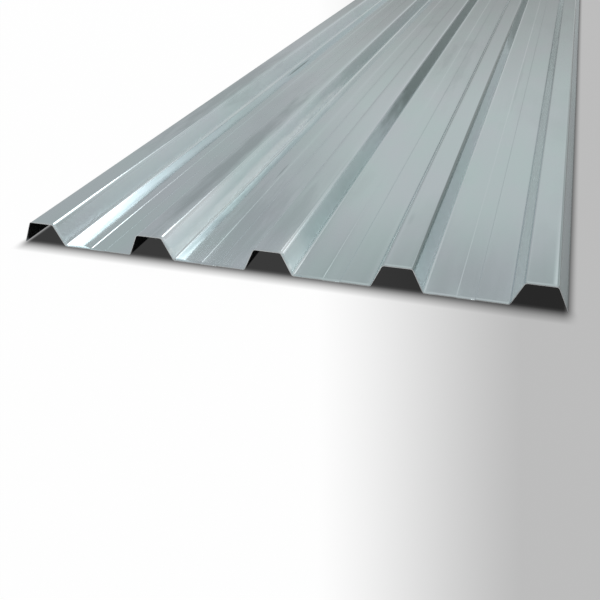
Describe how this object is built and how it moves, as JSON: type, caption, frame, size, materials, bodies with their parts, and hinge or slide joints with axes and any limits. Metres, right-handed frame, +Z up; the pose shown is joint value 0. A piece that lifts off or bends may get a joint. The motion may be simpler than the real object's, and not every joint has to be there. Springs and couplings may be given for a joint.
{
  "type": "corrugated metal sheet",
  "caption": "Long zinc-coated steel roofing sheet with trapezoidal ribs and wide flat pans, for roofs, walls and fences.",
  "frame": {"origin": "middle of the sheet across and along, on the level that it rests on: the undersides of the shallow grooves in its pans", "axes": "+X across the ribs, +Y along the ribs, +Z up, out of the side that sheds the rain"},
  "size_m": [0.7908, 3, 0.0345],
  "materials": {
    "zinc_coated_steel": "bright zinc coating, smooth and without spangle, with faint rolling marks and cloudy handling stains; bare sheared edges"
  },
  "bodies": {
    "root": {"roof_sheet": "zinc_coated_steel"}
  },
  "joints": []
}
